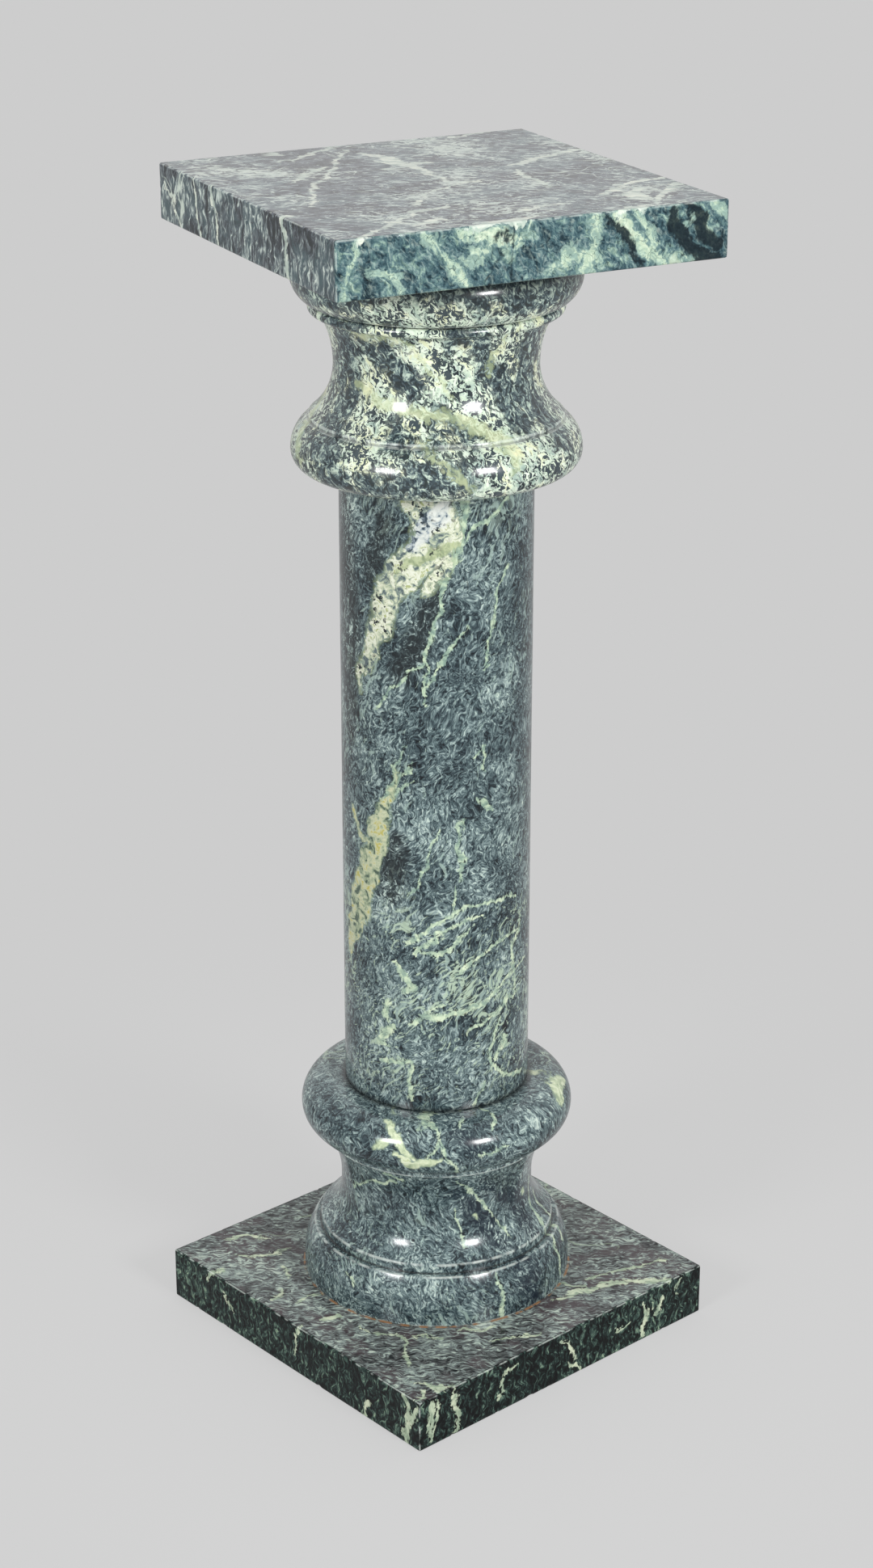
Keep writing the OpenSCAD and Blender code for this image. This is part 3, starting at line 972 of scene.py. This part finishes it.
    pale = strokes(flat, [
        [(166, -149, 2), (174, -148, 2.5), (184, -152, 1.6), (206, -160, 1.2)],
        [(190, -134, 2.6), (196, -118, 2), (206, -112, 1.2)],
        [(165, -96, 2), (179, -78, 2), (190, -68, 3), (206, -58, 3.5)],
        [(168, -66, 4), (170, -50, 6), (173, -36, 6.5), (170, -20, 3.5)],
        [(186, -60, 2), (183, -44, 3), (176, -34, 2)], [(165, -4, 3), (172, -14, 3), (182, -20, 1.4)],
        [(163, 44, 2.6), (180, 47, 2.2), (192, 45, 4), (204, 40, 6)],
        [(204, 12, 2.5), (195, 29, 3), (191, 45, 3), (198, 56, 1.5)],
        [(164, 64, 5), (176, 72, 7), (188, 86, 5), (200, 98, 5), (208, 106, 3)],
        [(165, 84, 2), (178, 94, 3), (190, 100, 2)], [(206, 118, 2), (209, 134, 2)],
        [(180, 128, 1), (177, 139, 1.6), (180, 150, 0.8)], [(164, 150, 2), (171, 158, 1.4)],
    ])
    pale = pale + (clouds - 0.5) * 30
    patch = ramp(clouds, {42: "8aa397", 50: "b3c7ae", 58: "d0dcc2", 68: "e6eedd"})
    patch = layer(patch, dusty, 0.22)
    patch = layer(patch, "24444a", threads(shove(place, 5, 1.2), 8, 0.022) * 0.8)
    colour = layer(colour, "86a198", step(pale, 2.8, 0) * right_side * 0.6)
    colour = layer(colour, patch, step(pale, 0.8, -1.2) * right_side)
    black = strokes(flat, [
        [(165, 53, 1.5), (172, 60, 3), (181, 69, 4), (194, 78, 3), (206, 86, 2)],
        [(168, 112, 4), (182, 118, 6), (196, 126, 7), (206, 150, 6)],
        [(166, 128, 4), (180, 140, 6), (192, 152, 6)], [(164, -22, 0.5), (206, -21, 0.6)],
        [(168, -26, 0.6), (176, -36, 0.5), (186, -30, 0.5), (204, -44, 0.5)],
    ])
    colour = layer(colour, "06161d", step(black + ragged, 2.5, -1.5) * right_side * 0.92)
    return rubbed_and_highlit_edges(colour, stone, half, top)


def plinth_paint(place):
    """Colour of the plinth, with strokes in mm on its outside laid flat."""
    half = PLINTH_SIDE / 2
    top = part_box("plinth")[1].z / MM
    flat, on_x, on_y = unfolded(place, half, top)
    grain = foliated(shove(place, 11, 2.2), 0.3)
    fine = cloud(grain, 2.4, 3, 0.66, 0.5)
    wide = cloud(foliated(shove(place, 40, 9), 0.5), 30, 3, 0.6)
    curled = fine + curls(grain, 8, 45) * 0.04
    tone = curled + wide.math("MULTIPLY_ADD", 0.5, -0.25)
    colour = ramp(tone, {
        30: "151819", 39: "343637", 46: "4f5251", 53: "687170", 61: "8b9992", 73: "b8c4b6",
    })
    violet = step(cloud(place, 38, 1), 0.48, 0.6) * step(tone, 0.7, 0.4)
    colour = layer(colour, "4a4144", violet * 0.7)
    # painted shade: the upright sides take a much darker copy of the top's colours
    sides = ramp(curled + wide.math("MULTIPLY_ADD", 0.3, -0.15), {
        36: "010304", 45: "091110", 52: "172523", 58: "2d3f3a", 65: "52685c", 76: "8a9f84",
    })
    colour = layer(colour, sides, on_x.math("MAXIMUM", on_y))
    veins = strokes(flat, [
        [(-147, -117, 1.4), (-128, -90, 2)], [(-123, -131, 0.8), (-110, -123, 1.4), (-97, -88, 0.8)],
        [(-118, -182, 0.8), (-112, -168, 1.8), (-110, -156, 2.4)], [(-80, -115, 1), (-58, -115, 0.8)],
        [(-43, -150, 1.4), (-46, -138, 0.8)], [(-22, -142, 0.5), (-25, -124, 0.7), (-24, -111, 0.6)],
        [(14, -139, 1.8), (15, -129, 2.2)],
        [(71, -110, 0.7), (86, -111, 0.8), (104, -129, 0.9), (116, -135, 0.6)],
        [(85, -103, 0.6), (91, -91, 0.9), (103, -83, 0.5)],
        [(122, 30, 1), (126, 52, 3.2), (135, 84, 2), (146, 106, 2.6), (164, 128, 1.6)],
        [(106, 50, 0.8), (121, 61, 1)], [(103, -68, 0.6), (111, -53, 1), (116, -39, 0.6)],
        [(135, -57, 0.6), (141, -34, 0.9), (151, -16, 0.6)],
        [(138, -146, 1.4), (156, -140, 2), (164, -128, 1)], [(152, -152, 1.6), (160, -160, 1)],
        [(150, -168, 2.4), (152, -190, 2), (150, -208, 1.6)],
        [(168, -152, 2.2), (190, -154, 2), (208, -150, 1.4)],
        [(137, 145, 1.6), (127, 114, 1.2), (114, 68, 0.6)],
        [(43, -122, 0.6), (62, -120, 0.8), (80, -109, 0.5)],
        [(9, -165, 0.8), (5, -176, 1.4), (2, -188, 0.6)], [(93, -210, 2), (104, -197, 1.6)],
        [(145, -206, 3), (158, -180, 2.6), (165, -168, 1.4)], [(-92, -177, 0.8), (-81, -189, 0.9)],
        [(170, -147, 1), (184, -145, 1.6), (204, -148, 0.8)],
        [(170, -126, 2.4), (189, -123, 1.6), (208, -127, 1)],
        [(172, -61, 1.6), (184, -70, 1.4), (200, -78, 0.6)], [(174, -1, 1), (194, 8, 1.4)],
        [(200, 5, 1.4), (212, 20, 0.8)], [(188, 62, 1.4), (184, 73, 0.8)],
        [(172, 95, 1), (191, 100, 2.4), (206, 98, 1.6)], [(180, 115, 2), (191, 109, 1.2)],
        [(170, 142, 0.8), (182, 137, 1)], [(-118, 24, 2), (-132, 40, 1.6)],
    ])
    moss = ramp(cloud(grain, 4, 3), {40: "8b9c86", 52: "aab89f", 66: "c7cfb4"})
    colour = veined(colour, moss, veins, fine, reach=3.6, strength=0.92)
    colour = back_veins(colour, "9bae95", place, lean=60)
    colour = rubbed_and_highlit_edges(colour, place, half, top)
    from_axis = pack(place.part(0), place.part(1)).vector("LENGTH", output=1)
    foot = BASE[0][-1][0]
    ring = step(from_axis, foot + 1.8, foot + 0.8) * step(from_axis, foot - 1, foot)
    return layer(colour, WAX, ring * step(cloud(place, 9, 3), 0.44, 0.56) * 0.85)


# ---- build

for piece, slot, paint, gloss in (
    (block("plinth_block", "plinth", PLINTH_SIDE, 0), "plinth_marble", plinth_paint, 0.22),
    (turned("turned_base", "base", eased(BASE)), "base_marble", base_paint, 0.5),
    (turned("round_shaft", "shaft", eased(SHAFT)), "shaft_marble", shaft_paint, 0.5),
    (turned("turned_capital", "capital", eased(CAPITAL)), "capital_marble", capital_paint, 0.5),
    (block("slab_block", "top_slab", SLAB_SIDE, SLAB_TURN), "slab_marble", slab_paint, 0.4),
):
    piece.data.materials.append(marble(slot, paint, gloss))


# ---- floor, light and camera

BACKDROP = "cdcdcd"
FLOOR_SIZE = 80.0  # m
FLOOR_GREY = "cfcfcf"
SHADOW_FADE = (0.9, 0.3)  # distances from the axis between which the shadow comes in, m
SHADOW_SHARE = 0.2  # how much of the lit floor shows under the column
ROOM_NEAR = 0.65  # room light from the camera's side, as a multiple of the backdrop's grey
ROOM_BEHIND = 0.5  # how much brighter it is behind the column
ROOM_ABOVE = 0.4  # how much brighter it is overhead
FLOOR_DIM = 0.7  # the floor's strength in reflections
LAMP_DISTANCE = 3.3  # from the axis, m
LAMP_HEIGHT = 2.0  # m
LAMP_AIM = 0.6  # height of the point on the axis that the lamps face, m
LAMP_WIDTH = 0.85  # m
LAMP_TALL = 0.8  # m


def rays(tree, *kinds):
    """1 for the given kinds of ray, 0 for the others."""
    node = tree.nodes.new("ShaderNodeLightPath")
    fields = [Field(tree, node.outputs[kind]) for kind in kinds]
    total = fields[0]
    for field in fields[1:]:
        total = total.math("MAXIMUM", field)
    return total


def add_floor():
    """A wide pale floor that shows the backdrop's grey and keeps a faint shadow of the column."""
    bpy.ops.mesh.primitive_plane_add(size=FLOOR_SIZE)
    floor = bpy.context.object
    floor.name = "floor"
    material = bpy.data.materials.new("floor_grey")
    material.use_nodes = True
    tree = material.node_tree
    shader = tree.nodes["Principled BSDF"]
    shader.inputs["Base Color"].default_value = linear(FLOOR_GREY)
    shader.inputs["Roughness"].default_value = 0.9
    shader.inputs["Specular IOR Level"].default_value = 0.0
    glow = tree.nodes.new("ShaderNodeEmission")
    glow.inputs["Color"].default_value = linear(BACKDROP)
    mixer = tree.nodes.new("ShaderNodeMixShader")
    near = step(object_place(tree).vector("LENGTH", output=1), *SHADOW_FADE)
    seen = rays(tree, "Is Camera Ray", "Is Glossy Ray", "Is Transmission Ray")
    strength = rays(tree, "Is Camera Ray").math("MULTIPLY_ADD", 1 - FLOOR_DIM, FLOOR_DIM)
    plug(tree, glow.inputs["Strength"], strength)
    plug(tree, mixer.inputs[0], seen * near.math("MULTIPLY_ADD", -SHADOW_SHARE, 1.0))
    tree.links.new(shader.outputs[0], mixer.inputs[1])
    tree.links.new(glow.outputs[0], mixer.inputs[2])
    tree.links.new(mixer.outputs[0], tree.nodes["Material Output"].inputs["Surface"])
    floor.data.materials.append(material)


def add_world():
    """Soft room light, brighter overhead and behind; the camera sees the backdrop's even grey."""
    world = bpy.data.worlds.new("room")
    bpy.context.scene.world = world
    world.use_nodes = True
    tree = world.node_tree
    background = tree.nodes["Background"]
    background.inputs["Color"].default_value = linear(BACKDROP)
    way = Field(tree, tree.nodes.new("ShaderNodeTexCoord").outputs["Generated"])
    behind = way.dot((-cos(radians(FRONT)), -sin(radians(FRONT)), 0.0))
    glow = step(behind, -0.4, 0.7) * ROOM_BEHIND + step(way.part(2), 0.0, 0.8) * ROOM_ABOVE + ROOM_NEAR
    seen = rays(tree, "Is Camera Ray")
    strength = seen * (1.0 - glow) + glow
    plug(tree, background.inputs["Strength"], strength)


def add_lamp(name, angle, radiance):
    """A softbox at an angle in degrees from the front, facing the column."""
    lamp = bpy.data.lights.new(name, "AREA")
    lamp.shape = "RECTANGLE"
    lamp.size = LAMP_WIDTH
    lamp.size_y = LAMP_TALL
    lamp.energy = radiance * pi * LAMP_WIDTH * LAMP_TALL
    thing = bpy.data.objects.new(name, lamp)
    turn = radians(FRONT + angle)
    thing.location = (LAMP_DISTANCE * cos(turn), LAMP_DISTANCE * sin(turn), LAMP_HEIGHT)
    way = Vector((0, 0, LAMP_AIM)) - thing.location
    thing.rotation_euler = way.to_track_quat("-Z", "Y").to_euler()
    bpy.context.scene.collection.objects.link(thing)


def add_camera():
    """The camera, at its solved distance from the axis and height in m, tipped down in degrees."""
    distance, height, tip = 2.4149, 1.474, 22.01
    camera = bpy.data.cameras.new("camera")
    camera.lens = 72.0
    camera.sensor_width = 36.0
    thing = bpy.data.objects.new("camera", camera)
    turn = radians(FRONT)
    thing.location = (distance * cos(turn), distance * sin(turn), height)
    thing.rotation_euler = (radians(90 - tip), 0, radians(FRONT + 90))
    bpy.context.scene.collection.objects.link(thing)
    bpy.context.scene.camera = thing


add_floor()
add_world()
add_lamp("softbox_right", angle=40, radiance=44.0)
add_lamp("softbox_left", angle=-40, radiance=32.0)
add_camera()

bpy.context.scene.view_settings.view_transform = "Standard"
